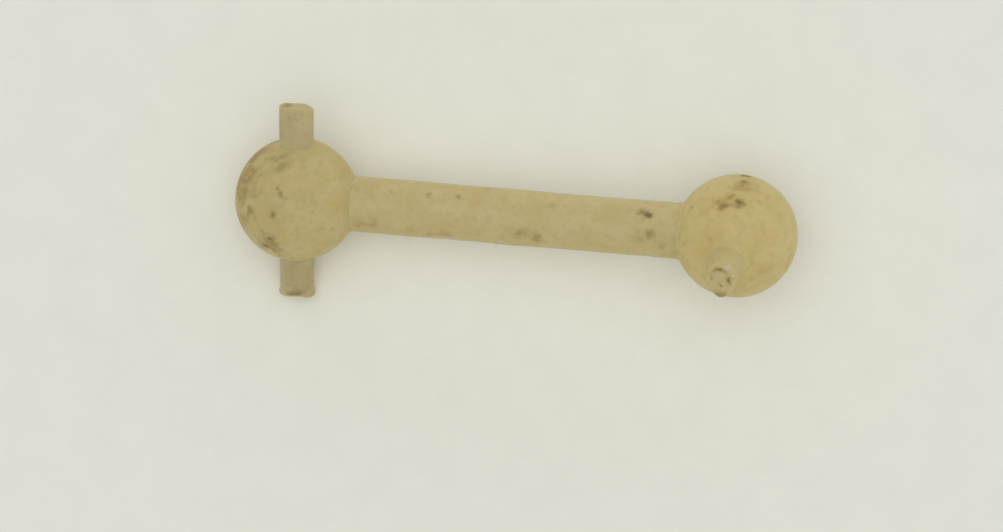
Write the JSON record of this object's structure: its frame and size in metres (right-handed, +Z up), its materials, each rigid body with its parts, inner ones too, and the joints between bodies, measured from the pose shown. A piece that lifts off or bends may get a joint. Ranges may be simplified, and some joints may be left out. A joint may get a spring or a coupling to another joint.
{
  "type": "dog-bone drive shaft",
  "caption": "Short plastic dog-bone drive shaft: a plain round rod with a ball on each end and a cross pin through each ball, the pins a quarter turn apart.",
  "frame": {"origin": "centre of the bounding box's bottom, on the surface the part lies on", "axes": "+X from the left ball to the right ball along the surface, +Z up from the surface, +Y to the rear, the side the left pin rises to. The part lies on the left ball, the front tip of the left pin and the lower tip of the right pin, so its rod rises about 4 degrees towards +X and it is rolled about 28 degrees."},
  "size_m": [0.0314, 0.0106, 0.0107],
  "materials": {
    "rod_plastic": "aged cream plastic, satin, faint mottling and dark specks",
    "ball_plastic": "aged cream plastic, satin, brown staining and small dark pits",
    "pin_plastic": "slightly greyer cream plastic, satin, worn tips"
  },
  "bodies": {
    "root": {"shaft": "rod_plastic", "left_ball": "ball_plastic", "right_ball": "ball_plastic", "left_cross_pin": "pin_plastic", "right_cross_pin": "pin_plastic"}
  },
  "joints": []
}
